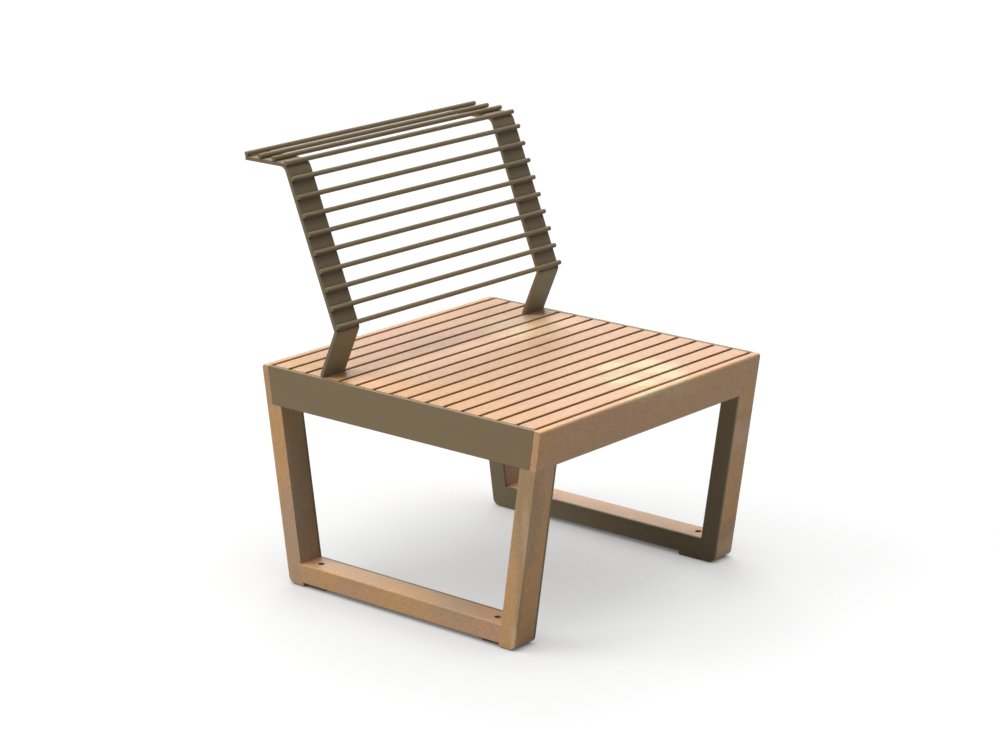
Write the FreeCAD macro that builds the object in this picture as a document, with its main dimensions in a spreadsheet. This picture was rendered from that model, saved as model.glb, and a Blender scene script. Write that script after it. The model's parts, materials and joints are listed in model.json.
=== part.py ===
import FreeCAD, Part
import math
import os
import Sketcher

# Garden chair: a seat of wooden cross slats on two trapezoid leg frames of wood backed with steel plate,
# and a back of round steel rods on two bent flat brackets. Nothing on it moves.
# Millimetres and degrees. X is the width, the sitter faces -Y, Z is up.
# The origin is on the floor, in the middle of the four anchor holes.

# Driving sizes
SIZES = [
    # Seat
    ("seat_height", "454"),  # floor to the top of the slats
    ("seat_width", "711"),  # over the two side plates
    ("slat_count", "15"),
    ("slat_width", "36.9"),
    ("slat_thickness", "32"),
    ("slat_end_clearance", "2"),  # slat end to side plate
    ("slat_edge_radius", "1.2"),  # top edges of the slats, inner top edge of the boards
    ("apron_height", "80"),  # side plates and boards, top to bottom
    ("side_plate_thickness", "8"),
    ("plate_edge_chamfer", "0.6"),
    ("board_thickness", "16.9"),  # square to the board's face
    ("board_edge_radius", "5"),  # top outer edge
    ("carrier_thickness", "6"),
    ("cross_bar_thickness", "8"),
    ("cross_bar_margin", "3"),  # above the apron's lower edge and below the carriers
    # Leg frames
    ("leg_lean", "8.08"),  # from upright, wider at the top
    ("leg_depth", "39.6"),  # front to back, on the level
    ("leg_width", "56"),  # side to side, without the steel plate
    ("leg_floor_gap", "1"),  # the wood ends just above the floor
    ("rail_height", "40"),
    ("frame_plate_thickness", "5.6"),
    ("heel_radius", "16"),  # outer bottom corner of the leg frame
    ("wood_edge_radius", "2"),
    ("foot_thickness", "8"),
    ("foot_length", "50"),
    ("foot_inset", "10"),  # from the outer face of the rail
    ("anchor_hole_diameter", "13.5"),
    # Back
    ("bracket_thickness", "8"),
    ("bracket_width", "65.5"),
    ("bracket_clearance", "0.375"),  # bracket to the slats on both sides of it
    ("bracket_side_clearance", "0.5"),  # bracket to side plate, tongue to frame plate
    ("bracket_gap_number", "4"),  # the slat gap the brackets rise through, counted from the rear board
    ("bracket_edge_radius", "0.8"),
    ("stem_bend_height", "5"),  # above the seat
    ("stem_lean", "23.2"),  # forward, from the seat up to the knee
    ("knee_height", "98.5"),  # above the seat
    ("knee_bend_radius", "6"),  # inside of the bend
    ("back_lean", "22.1"),  # backward, from the knee up to the head roll
    ("head_bend_radius", "16"),  # inside of the bend
    ("rod_diameter", "10"),
    ("rod_overhang", "2.2"),  # past the outer edge of the bracket
    ("rod_weld_gap", "0.2"),
    ("rod_end_chamfer", "0.8"),
    ("back_rod_count", "9"),
    ("back_rod_pitch", "38.05"),
    ("head_rod_count", "3"),
    ("head_rod_pitch", "36.9"),
    ("rod_from_bend", "17.5"),  # nearest rods on both sides of the head bend
    ("rod_above_knee", "10.5"),
    # Fasteners
    ("screw_diameter", "5"),
    ("screw_head_diameter", "10"),
    ("screw_head_height", "3"),
    ("screw_clearance", "0.15"),
    ("slat_screw_cover", "8"),  # wood left above the tip
    ("board_screw_cover", "4.5"),
    ("board_screw_count", "4"),
    ("board_screw_pitch", "160"),
    ("leg_screw_cover", "20"),
    ("leg_screw_count", "3"),
    ("rail_screw_count", "3"),
    ("rail_screw_pitch", "150"),
    ("bolt_diameter", "8"),
    ("bolt_spacing", "24"),
    ("bolt_head_width", "13"),  # across flats, nut too
    ("bolt_head_height", "5.3"),
    ("bolt_tail", "3"),  # thread past the nut
    ("nut_height", "6.5"),
]

doc = FreeCAD.newDocument("garden_chair")
sheet = doc.addObject("Spreadsheet::Sheet", "Sizes")
for row, (name, number) in enumerate(SIZES, start=1):
    sheet.set(f"A{row}", name)
    sheet.set(f"B{row}", number)
    sheet.setAlias(f"B{row}", name)
doc.recompute()

# Sizes and places worked out from the driving sizes, as expressions
SLAT_COUNT = "round(Sizes.slat_count)"
SLAT_GAP = "(Sizes.bracket_thickness + 2 * Sizes.bracket_clearance)"
SLAT_PITCH = f"(Sizes.slat_width + {SLAT_GAP})"
FIELD_HALF = f"(({SLAT_COUNT} * {SLAT_PITCH} + {SLAT_GAP}) / 2)"
BOARD_DEPTH = "(Sizes.board_thickness / cos(Sizes.leg_lean))"
APRON_BOTTOM = "(Sizes.seat_height - Sizes.apron_height)"
SLAT_UNDERSIDE = "(Sizes.seat_height - Sizes.slat_thickness)"
CARRIER_UNDERSIDE = f"({SLAT_UNDERSIDE} - Sizes.carrier_thickness)"
RAIL_TOP = "(Sizes.foot_thickness + Sizes.rail_height)"
RAIL_MIDDLE = "(Sizes.foot_thickness + Sizes.rail_height / 2)"

PLATE_INSIDE = "(Sizes.seat_width / 2 - Sizes.side_plate_thickness)"
FRAME_OUTSIDE = "(Sizes.seat_width / 2 - Sizes.leg_width)"
FRAME_INSIDE = f"({FRAME_OUTSIDE} - Sizes.frame_plate_thickness)"
POCKET_MIDDLE = f"(({PLATE_INSIDE} + {FRAME_OUTSIDE}) / 2)"
BRACKET_OUTSIDE = f"({PLATE_INSIDE} - Sizes.bracket_side_clearance)"
TONGUE_WIDTH = f"({BRACKET_OUTSIDE} - {FRAME_OUTSIDE} - Sizes.bracket_side_clearance)"

SCREW_RADIUS = "(Sizes.screw_diameter / 2)"
SCREW_HOLE_RADIUS = f"({SCREW_RADIUS} + Sizes.screw_clearance)"
BOLT_HOLE_RADIUS = "(Sizes.bolt_diameter / 2 + Sizes.screw_clearance)"

SIDES = {"left": 1, "right": -1}
ENDS = {"front": -1, "rear": 1}


def outer_face(height):
    """Distance from the middle plane to the leaning outer face of boards and legs at a height."""
    return f"({FIELD_HALF} + {BOARD_DEPTH} - (Sizes.seat_height - {height}) * tan(Sizes.leg_lean))"


def board_inside(height):
    """Distance from the middle plane to the inner face of a board."""
    return f"({outer_face(height)} - {BOARD_DEPTH})"


def leg_inside(height):
    """Distance from the middle plane to the inner face of a leg."""
    return f"({outer_face(height)} - Sizes.leg_depth)"


ANCHOR_X = "(Sizes.seat_width / 2 - Sizes.leg_width / 2)"
ANCHOR_Y = f"({leg_inside('0')} - Sizes.foot_length / 2)"
BRACKET_GAP = "round(Sizes.bracket_gap_number)"
BRACKET_Y = f"({FIELD_HALF} - ({BRACKET_GAP} - 0.5) * {SLAT_GAP} - ({BRACKET_GAP} - 1) * Sizes.slat_width)"

parts = []


def value(expression):
    """The number that an expression comes to."""
    return float(sheet.evalExpression(expression))


def count(name):
    return round(value(f"Sizes.{name}"))


# Helpers for drawing and for solid features
def new_body(label, x="0", y="0", z="0"):
    body = doc.addObject("PartDesign::Body", label)
    body.Label = label
    place(body, x, y, z)
    parts.append(body)
    return body


def place(part, x, y, z):
    for axis, expression in zip("xyz", (x, y, z)):
        part.setExpression(f".Placement.Base.{axis}", expression)


def sketch_on(body, plane, purpose):
    """An empty sketch on one of the body's own origin planes."""
    sketch = body.newObject("Sketcher::SketchObject", f"{body.Name}_{purpose}")
    support = [feature for feature in body.Origin.OriginFeatures if feature.Role == plane][0]
    sketch.AttachmentSupport = [(support, "")]
    sketch.MapMode = "FlatFace"
    return sketch


def bind(sketch, kind, geometry, expression):
    """A dimension of the sketch that follows an expression."""
    index = sketch.addConstraint(Sketcher.Constraint(kind, *geometry, value(expression)))
    sketch.setExpression(f"Constraints[{index}]", expression)


def draw_outline(sketch, corners):
    """A closed outline of straight lines; each corner is a pair of expressions."""
    points = [FreeCAD.Vector(value(across), value(up), 0) for across, up in corners]
    first = sketch.GeometryCount
    total = len(corners)
    for index in range(total):
        sketch.addGeometry(Part.LineSegment(points[index], points[(index + 1) % total]))
    for index, (across, up) in enumerate(corners):
        following = first + (index + 1) % total
        sketch.addConstraint(Sketcher.Constraint("Coincident", first + index, 2, following, 1))
        bind(sketch, "DistanceX", (first + index, 1), across)
        bind(sketch, "DistanceY", (first + index, 1), up)


def draw_circle(sketch, across, up, radius):
    centre = FreeCAD.Vector(value(across), value(up), 0)
    index = sketch.addGeometry(Part.Circle(centre, FreeCAD.Vector(0, 0, 1), value(radius)))
    bind(sketch, "DistanceX", (index, 3), across)
    bind(sketch, "DistanceY", (index, 3), up)
    bind(sketch, "Radius", (index,), radius)


def pad(body, sketch, length, symmetric=False, backward=False):
    feature = body.newObject("PartDesign::Pad", f"{sketch.Name}_pad")
    feature.Profile = sketch
    feature.setExpression("Length", length)
    feature.SideType = "Symmetric" if symmetric else "One side"
    feature.Reversed = backward
    doc.recompute()
    return feature


def pocket(body, sketch, depth=None, forward=False):
    """Cuts the sketch against its normal, or along it if forward; right through if no depth is given."""
    before = body.Shape.Volume
    feature = body.newObject("PartDesign::Pocket", f"{sketch.Name}_cut")
    feature.Profile = sketch
    feature.Reversed = forward
    if depth is None:
        feature.Type = "ThroughAll"
    else:
        feature.setExpression("Length", depth)
    doc.recompute()
    if not body.Shape.Volume < before:
        raise ValueError(f"{feature.Name} cuts nothing")
    return feature


def ease(body, kind, amount, chosen):
    """Rounds (Fillet) or bevels (Chamfer) the edges of the body that the test chooses."""
    base = body.Tip
    names = [f"Edge{number}" for number, edge in enumerate(base.Shape.Edges, start=1) if chosen(edge)]
    if not names:
        raise ValueError(f"{body.Label}: no edge to ease")
    feature = body.newObject(f"PartDesign::{kind}", f"{body.Name}_{kind}")
    feature.Base = (base, names)
    feature.setExpression("Radius" if kind == "Fillet" else "Size", amount)
    doc.recompute()
    return feature


def near(first, second):
    """True for two lengths that are the same but for rounding."""
    tolerance = 1e-4
    return abs(first - second) < tolerance


def along(edge, axis):
    """True for a straight edge parallel to an axis."""
    if not isinstance(edge.Curve, Part.Line):
        return False
    return near(abs(edge.Curve.Direction.dot(axis)), 1)


def at(edge, x=None, y=None, z=None):
    """True for an edge whose middle has the given coordinates."""
    middle = edge.CenterOfMass
    wanted = zip(middle, (x, y, z))
    return all(number is None or near(found, number) for found, number in wanted)


X_AXIS = FreeCAD.Vector(1, 0, 0)
Y_AXIS = FreeCAD.Vector(0, 1, 0)
Z_AXIS = FreeCAD.Vector(0, 0, 1)


# Seat slats
def slat_middle(number):
    """Middle of a slat, the first one beside the front board."""
    return f"({number} * {SLAT_PITCH} - Sizes.slat_width / 2 - {FIELD_HALF})"


SLAT_SCREW_BITE = "(Sizes.slat_thickness - Sizes.slat_screw_cover)"


def make_slat(number):
    body = new_body(f"seat_slat_{number:02d}", y=slat_middle(number), z=SLAT_UNDERSIDE)
    section = sketch_on(body, "YZ_Plane", "section")
    draw_outline(section, [
        ("-Sizes.slat_width / 2", "0"),
        ("Sizes.slat_width / 2", "0"),
        ("Sizes.slat_width / 2", "Sizes.slat_thickness"),
        ("-Sizes.slat_width / 2", "Sizes.slat_thickness"),
    ])
    pad(body, section, f"2 * ({PLATE_INSIDE} - Sizes.slat_end_clearance)", symmetric=True)
    pilots = sketch_on(body, "XY_Plane", "pilots")
    for side in SIDES.values():
        draw_circle(pilots, f"{side} * {POCKET_MIDDLE}", "0", SCREW_HOLE_RADIUS)
    pocket(body, pilots, f"{SLAT_SCREW_BITE} + Sizes.screw_clearance", forward=True)
    top = value("Sizes.slat_thickness")
    ease(body, "Fillet", "Sizes.slat_edge_radius", lambda edge: along(edge, X_AXIS) and at(edge, z=top))


for slat_number in range(1, count("slat_count") + 1):
    make_slat(slat_number)


# Front and rear boards with the steel cross bars behind them, both leaning with the legs
BOARD_RISE = "(Sizes.apron_height / cos(Sizes.leg_lean))"
BAR_FOOT = "(Sizes.cross_bar_margin / cos(Sizes.leg_lean))"
BAR_ROOM = f"({CARRIER_UNDERSIDE} - {APRON_BOTTOM} - Sizes.cross_bar_margin)"
BAR_HEAD = f"({BAR_ROOM} / cos(Sizes.leg_lean) - Sizes.cross_bar_thickness * tan(Sizes.leg_lean))"
BAR_MIDDLE = f"(({BAR_FOOT} + {BAR_HEAD}) / 2)"
BOARD_SCREW_BITE = "(Sizes.board_thickness - Sizes.board_screw_cover)"


def lean_placement(end):
    """Turn that leans a piece outward to the front or the rear; its amount follows leg_lean."""
    start_angle = 1.0
    return FreeCAD.Placement(FreeCAD.Vector(), FreeCAD.Rotation(FreeCAD.Vector(-end, 0, 0), start_angle))


def leaning_body(label, end):
    """A body whose XZ plane lies on the inner face of a board."""
    body = new_body(label)
    body.Placement = lean_placement(end)
    place(body, "0", f"{end} * {board_inside(APRON_BOTTOM)}", APRON_BOTTOM)
    body.setExpression(".Placement.Rotation.Angle", "Sizes.leg_lean")
    return body


def board_screw_places():
    """Places of the screws along a board."""
    middle = "(round(Sizes.board_screw_count) - 1) / 2"
    numbers = range(count("board_screw_count"))
    return [f"({number} - {middle}) * Sizes.board_screw_pitch" for number in numbers]


def make_board(end_name, end):
    body = leaning_body(f"{end_name}_board", end)
    section = sketch_on(body, "YZ_Plane", "section")
    outside = f"{end} * Sizes.board_thickness"
    slant = "Sizes.board_thickness * tan(Sizes.leg_lean)"
    draw_outline(section, [
        ("0", "0"),
        (outside, slant),
        (outside, f"{BOARD_RISE} + {slant}"),
        ("0", BOARD_RISE),
    ])
    pad(body, section, "Sizes.seat_width", symmetric=True)
    pilots = sketch_on(body, "XZ_Plane", "pilots")
    for across in board_screw_places():
        draw_circle(pilots, across, BAR_MIDDLE, SCREW_HOLE_RADIUS)
    pocket(body, pilots, f"{BOARD_SCREW_BITE} + Sizes.screw_clearance", forward=end < 0)
    face = value(outside)
    top = value(f"{BOARD_RISE} + {slant}")
    half_width = value("Sizes.seat_width / 2")
    ease(body, "Fillet", "Sizes.board_edge_radius",
         lambda edge: along(edge, X_AXIS) and at(edge, y=face, z=top))
    inner_top = value(BOARD_RISE)
    ease(body, "Fillet", "Sizes.slat_edge_radius",
         lambda edge: along(edge, X_AXIS) and at(edge, y=0, z=inner_top))

    def outer_end(edge):
        return at(edge, y=face) and near(abs(edge.CenterOfMass.x), half_width)

    ease(body, "Fillet", "Sizes.wood_edge_radius", outer_end)


def make_cross_bar(end_name, end):
    body = leaning_body(f"{end_name}_cross_bar", end)
    section = sketch_on(body, "YZ_Plane", "section")
    inside = f"{-end} * Sizes.cross_bar_thickness"
    draw_outline(section, [("0", BAR_FOOT), (inside, BAR_FOOT), (inside, BAR_HEAD), ("0", BAR_HEAD)])
    pad(body, section, f"2 * {FRAME_INSIDE}", symmetric=True)
    holes = sketch_on(body, "XZ_Plane", "holes")
    for across in board_screw_places():
        draw_circle(holes, across, BAR_MIDDLE, SCREW_HOLE_RADIUS)
    pocket(body, holes, forward=end > 0)


for end_label, end_sign in ENDS.items():
    make_board(end_label, end_sign)
    make_cross_bar(end_label, end_sign)


# Wooden legs and bottom rails; each stands on the frame plate's outer face
def leg_screw_places(end):
    """Pairs of places, front to back and up, of the screws that hold a leg."""
    spacing = f"(({APRON_BOTTOM} - {RAIL_TOP}) / round(Sizes.leg_screw_count))"
    heights = [f"({RAIL_TOP} + {number + 0.5} * {spacing})" for number in range(count("leg_screw_count"))]
    return [(f"{end} * ({leg_inside(height)} + Sizes.leg_depth / 2)", height) for height in heights]


def rail_screw_places():
    """Pairs of places of the screws that hold a bottom rail."""
    middle = "(round(Sizes.rail_screw_count) - 1) / 2"
    numbers = range(count("rail_screw_count"))
    return [(f"({number} - {middle}) * Sizes.rail_screw_pitch", RAIL_MIDDLE) for number in numbers]


LEG_SCREW_BITE = "(Sizes.leg_width - Sizes.leg_screw_cover)"


def drill_pilots(body, places, outward):
    pilots = sketch_on(body, "YZ_Plane", "pilots")
    for across, up in places:
        draw_circle(pilots, across, up, SCREW_HOLE_RADIUS)
    pocket(body, pilots, f"{LEG_SCREW_BITE} + Sizes.screw_clearance", forward=outward)


def make_leg(side_name, side, end_name, end):
    body = new_body(f"{side_name}_{end_name}_leg", x=f"{side} * {FRAME_OUTSIDE}")
    floor = "Sizes.leg_floor_gap"
    outline = sketch_on(body, "YZ_Plane", "outline")
    draw_outline(outline, [
        (f"{end} * {outer_face(floor)}", floor),
        (f"{end} * {outer_face(APRON_BOTTOM)}", APRON_BOTTOM),
        (f"{end} * {leg_inside(APRON_BOTTOM)}", APRON_BOTTOM),
        (f"{end} * {leg_inside(floor)}", floor),
    ])
    pad(body, outline, "Sizes.leg_width", backward=side < 0)
    drill_pilots(body, leg_screw_places(end), outward=side > 0)
    heel = value(f"{end} * {outer_face(floor)}")
    ease(body, "Fillet", "Sizes.heel_radius", lambda edge: along(edge, X_AXIS) and at(edge, y=heel))
    face = value(f"{side} * Sizes.leg_width")
    top = value(APRON_BOTTOM)
    slope = math.tan(math.radians(value("Sizes.leg_lean")))
    inner_at_top = value(leg_inside(APRON_BOTTOM))

    def outer_corner(edge):
        middle = edge.CenterOfMass
        from_inner_face = abs(middle.y) - inner_at_top + (top - middle.z) * slope
        return at(edge, x=face) and not near(middle.z, top) and not near(from_inner_face, 0)

    ease(body, "Fillet", "Sizes.wood_edge_radius", outer_corner)


def make_rail(side_name, side):
    body = new_body(f"{side_name}_bottom_rail", x=f"{side} * {FRAME_OUTSIDE}")
    outline = sketch_on(body, "YZ_Plane", "outline")
    bottom = "Sizes.foot_thickness"
    draw_outline(outline, [
        (f"-{leg_inside(bottom)}", bottom),
        (leg_inside(bottom), bottom),
        (leg_inside(RAIL_TOP), RAIL_TOP),
        (f"-{leg_inside(RAIL_TOP)}", RAIL_TOP),
    ])
    pad(body, outline, "Sizes.leg_width", backward=side < 0)
    drill_pilots(body, rail_screw_places(), outward=side > 0)
    anchors = sketch_on(body, "XY_Plane", "anchor_holes")
    for end in ENDS.values():
        draw_circle(anchors, f"{side} * Sizes.leg_width / 2", f"{end} * {ANCHOR_Y}",
                    "Sizes.anchor_hole_diameter / 2")
    pocket(body, anchors, forward=True)
    face = value(f"{side} * Sizes.leg_width")
    ease(body, "Fillet", "Sizes.wood_edge_radius", lambda edge: along(edge, Y_AXIS) and at(edge, x=face))


def make_foot(side_name, side, end_name, end):
    """Steel plate under the rail, beside the leg, drilled for the floor anchor."""
    body = new_body(f"{side_name}_{end_name}_foot_plate", x=f"{side} * {ANCHOR_X}", y=f"{end} * {ANCHOR_Y}")
    outline = sketch_on(body, "XY_Plane", "outline")
    outside = f"{side} * (Sizes.leg_width / 2 - Sizes.foot_inset)"
    inside = f"{-side} * (Sizes.leg_width / 2 + Sizes.frame_plate_thickness)"
    half = "Sizes.foot_length / 2"
    draw_outline(outline, [(inside, f"-{half}"), (outside, f"-{half}"), (outside, half), (inside, half)])
    draw_circle(outline, "0", "0", "Sizes.anchor_hole_diameter / 2")
    pad(body, outline, "Sizes.foot_thickness")


# Steel side: frame plate behind the wood, side plate, slat carrier
def make_frame_plate(side_name, side):
    """One cut plate: two legs, the bottom rail and a top bar behind the apron, round one opening."""
    body = new_body(f"{side_name}_frame_plate", x=f"{side} * {FRAME_INSIDE}")
    floor = "Sizes.leg_floor_gap"
    rail_bottom = "Sizes.foot_thickness"
    rear_half = [
        (leg_inside(rail_bottom), rail_bottom),
        (leg_inside(floor), floor),
        (outer_face(floor), floor),
        (outer_face(APRON_BOTTOM), APRON_BOTTOM),
        (board_inside(APRON_BOTTOM), APRON_BOTTOM),
        (board_inside(CARRIER_UNDERSIDE), CARRIER_UNDERSIDE),
    ]
    front_half = [(f"-{across}", up) for across, up in reversed(rear_half)]
    outline = sketch_on(body, "YZ_Plane", "outline")
    draw_outline(outline, rear_half + front_half)
    draw_outline(outline, [
        (leg_inside(RAIL_TOP), RAIL_TOP),
        (leg_inside(APRON_BOTTOM), APRON_BOTTOM),
        (f"-{leg_inside(APRON_BOTTOM)}", APRON_BOTTOM),
        (f"-{leg_inside(RAIL_TOP)}", RAIL_TOP),
    ])
    pad(body, outline, "Sizes.frame_plate_thickness", backward=side < 0)
    holes = sketch_on(body, "YZ_Plane", "screw_holes")
    for across, up in rail_screw_places() + leg_screw_places(-1) + leg_screw_places(1):
        draw_circle(holes, across, up, SCREW_HOLE_RADIUS)
    pocket(body, holes, forward=side > 0)
    ease(body, "Chamfer", f"Sizes.screw_head_diameter / 2 - {SCREW_RADIUS}",
         lambda edge: isinstance(edge.Curve, Part.Circle) and at(edge, x=0))
    heel = value(outer_face(floor))
    ease(body, "Fillet", "Sizes.heel_radius",
         lambda edge: along(edge, X_AXIS) and near(abs(edge.CenterOfMass.y), heel))


def make_side_plate(side_name, side):
    body = new_body(f"{side_name}_side_plate", x=f"{side} * {PLATE_INSIDE}")
    outline = sketch_on(body, "YZ_Plane", "outline")
    top = "Sizes.seat_height"
    draw_outline(outline, [
        (f"-{board_inside(APRON_BOTTOM)}", APRON_BOTTOM),
        (board_inside(APRON_BOTTOM), APRON_BOTTOM),
        (board_inside(top), top),
        (f"-{board_inside(top)}", top),
    ])
    pad(body, outline, "Sizes.side_plate_thickness", backward=side < 0)
    ease(body, "Chamfer", "Sizes.plate_edge_chamfer", lambda edge: along(edge, Y_AXIS))


def make_carrier(side_name, side):
    """Flat bar under the slat ends, notched where the bracket's tongue goes down."""
    body = new_body(f"{side_name}_slat_carrier", x=f"{side} * {FRAME_INSIDE}", z=CARRIER_UNDERSIDE)
    outline = sketch_on(body, "XY_Plane", "outline")
    outside = f"{side} * ({PLATE_INSIDE} - {FRAME_INSIDE})"
    notch = f"{side} * Sizes.frame_plate_thickness"
    bar_end = f"({FIELD_HALF} - {SLAT_GAP})"
    notch_front = f"{BRACKET_Y} - {SLAT_GAP} / 2"
    notch_rear = f"{BRACKET_Y} + {SLAT_GAP} / 2"
    draw_outline(outline, [
        ("0", f"-{bar_end}"),
        (outside, f"-{bar_end}"),
        (outside, notch_front),
        (notch, notch_front),
        (notch, notch_rear),
        (outside, notch_rear),
        (outside, bar_end),
        ("0", bar_end),
    ])
    pad(body, outline, "Sizes.carrier_thickness")
    first_hole = sketch_on(body, "XY_Plane", "screw_hole")
    screw_line = f"{side} * ({POCKET_MIDDLE} - {FRAME_INSIDE})"
    draw_circle(first_hole, screw_line, slat_middle(1), SCREW_HOLE_RADIUS)
    hole = pocket(body, first_hole, forward=True)
    pattern = body.newObject("PartDesign::LinearPattern", f"{body.Name}_holes")
    pattern.Originals = [hole]
    pattern.Direction = (first_hole, ["V_Axis"])
    pattern.setExpression("Length", f"({SLAT_COUNT} - 1) * {SLAT_PITCH}")
    pattern.setExpression("Occurrences", SLAT_COUNT)
    body.Tip = pattern
    doc.recompute()


for side_label, side_sign in SIDES.items():
    for end_label, end_sign in ENDS.items():
        make_leg(side_label, side_sign, end_label, end_sign)
        make_foot(side_label, side_sign, end_label, end_sign)
    make_rail(side_label, side_sign)
    make_frame_plate(side_label, side_sign)
    make_side_plate(side_label, side_sign)
    make_carrier(side_label, side_sign)

# Back brackets. Their outline starts from the middle line of the bent bar, measured from the point
# where it crosses the top of the seat: up the stem, forward to the knee, back to the head bend, level.
HALF_BAR = "(Sizes.bracket_thickness / 2)"
HEAD_HALF_TURN = "((90 - Sizes.back_lean) / 2)"
KNEE_HALF_TURN = "((Sizes.stem_lean + Sizes.back_lean) / 2)"
HEAD_OUTER_RADIUS = "(Sizes.head_bend_radius + Sizes.bracket_thickness)"
HEAD_TANGENT = f"({HEAD_OUTER_RADIUS} * tan({HEAD_HALF_TURN}))"
LAST_BACK_ROD = "((round(Sizes.back_rod_count) - 1) * Sizes.back_rod_pitch)"
LAST_HEAD_ROD = "((round(Sizes.head_rod_count) - 1) * Sizes.head_rod_pitch)"
FACE_LENGTH = f"({HEAD_TANGENT} + Sizes.rod_from_bend + {LAST_BACK_ROD} + Sizes.rod_above_knee)"
KNEE_Y = "(-(Sizes.knee_height - Sizes.stem_bend_height) * tan(Sizes.stem_lean))"
KNEE_Z = "Sizes.knee_height"
BACK_LENGTH = f"({FACE_LENGTH} - {HALF_BAR} * (tan({HEAD_HALF_TURN}) + tan({KNEE_HALF_TURN})))"
HEAD_Y = f"({KNEE_Y} + {BACK_LENGTH} * sin(Sizes.back_lean))"
HEAD_Z = f"({KNEE_Z} + {BACK_LENGTH} * cos(Sizes.back_lean))"
# Mitre steps from the middle line to the front and top face
STEM_STEP = f"({HALF_BAR} * tan(Sizes.stem_lean / 2))"
KNEE_SPREAD = "(1 + cos(Sizes.stem_lean + Sizes.back_lean))"
KNEE_STEP_Y = f"({HALF_BAR} * (cos(Sizes.stem_lean) + cos(Sizes.back_lean)) / {KNEE_SPREAD})"
KNEE_STEP_Z = f"({HALF_BAR} * (sin(Sizes.back_lean) - sin(Sizes.stem_lean)) / {KNEE_SPREAD})"
HEAD_STEP_Y = f"({HALF_BAR} * cos(Sizes.back_lean) / (1 + sin(Sizes.back_lean)))"
# Corner where the front face and the level top face would meet without the bend
CREST_Y = f"({HEAD_Y} - {HEAD_STEP_Y})"
CREST_Z = f"({HEAD_Z} + {HALF_BAR})"
HEAD_REACH = f"({HEAD_TANGENT} + Sizes.rod_from_bend + {LAST_HEAD_ROD} + Sizes.rod_diameter / 2)"
HEAD_END_Y = f"({CREST_Y} + {HEAD_REACH})"

BOLT_Z = f"({BAR_ROOM} / 2 + {APRON_BOTTOM} + Sizes.cross_bar_margin / 2)"
TONGUE_BOTTOM = f"({APRON_BOTTOM} + Sizes.cross_bar_margin)"


def make_bracket(side_name, side):
    edge_x = f"{side} * {BRACKET_OUTSIDE}"
    body = new_body(f"{side_name}_back_bracket", x=edge_x, y=BRACKET_Y, z="Sizes.seat_height")
    front = [
        (f"-{HALF_BAR}", "-Sizes.slat_thickness"),
        (f"-{HALF_BAR}", f"Sizes.stem_bend_height - {STEM_STEP}"),
        (f"{KNEE_Y} - {KNEE_STEP_Y}", f"{KNEE_Z} + {KNEE_STEP_Z}"),
        (CREST_Y, CREST_Z),
        (HEAD_END_Y, CREST_Z),
    ]
    rear = [
        (HEAD_END_Y, f"{HEAD_Z} - {HALF_BAR}"),
        (f"{HEAD_Y} + {HEAD_STEP_Y}", f"{HEAD_Z} - {HALF_BAR}"),
        (f"{KNEE_Y} + {KNEE_STEP_Y}", f"{KNEE_Z} - {KNEE_STEP_Z}"),
        (HALF_BAR, f"Sizes.stem_bend_height + {STEM_STEP}"),
        (HALF_BAR, "-Sizes.slat_thickness"),
    ]
    outline = sketch_on(body, "YZ_Plane", "outline")
    draw_outline(outline, front + rear)
    pad(body, outline, "Sizes.bracket_width", backward=side > 0)

    def corner(place_pair):
        y, z = (value(expression) for expression in place_pair)
        return lambda edge: along(edge, X_AXIS) and at(edge, y=y, z=z)

    knee_outer = "Sizes.knee_bend_radius + Sizes.bracket_thickness"
    bends = [
        (front[1], "Sizes.knee_bend_radius"),
        (rear[3], knee_outer),
        (front[2], knee_outer),
        (rear[2], "Sizes.knee_bend_radius"),
        (front[3], HEAD_OUTER_RADIUS),
        (rear[1], "Sizes.head_bend_radius"),
    ]
    for place_pair, radius in bends:
        ease(body, "Fillet", radius, corner(place_pair))
    outer_edge = 0
    inner_edge = value(f"{-side} * Sizes.bracket_width")
    shoulder = value("-Sizes.slat_thickness")
    ease(body, "Fillet", "Sizes.bracket_edge_radius",
         lambda edge: (at(edge, x=outer_edge) or at(edge, x=inner_edge)) and not at(edge, z=shoulder))
    tongue = sketch_on(body, "YZ_Plane", "tongue")
    tongue_end = f"{TONGUE_BOTTOM} - Sizes.seat_height"
    draw_outline(tongue, [
        (f"-{HALF_BAR}", tongue_end),
        (HALF_BAR, tongue_end),
        (HALF_BAR, "-Sizes.slat_thickness"),
        (f"-{HALF_BAR}", "-Sizes.slat_thickness"),
    ])
    pad(body, tongue, TONGUE_WIDTH, backward=side > 0)
    holes = sketch_on(body, "XZ_Plane", "bolt_holes")
    for place_x in bolt_places():
        draw_circle(holes, f"{side} * ({place_x} - {BRACKET_OUTSIDE})", f"{BOLT_Z} - Sizes.seat_height",
                    BOLT_HOLE_RADIUS)
    drill_both_ways(body, holes)


def bolt_places():
    """Distances of the bracket bolts from the middle plane."""
    return [f"({POCKET_MIDDLE} + {step} * Sizes.bolt_spacing / 2)" for step in (-1, 1)]


def drill_both_ways(body, sketch):
    feature = pocket(body, sketch)
    feature.SideType = "Symmetric"
    doc.recompute()


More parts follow.
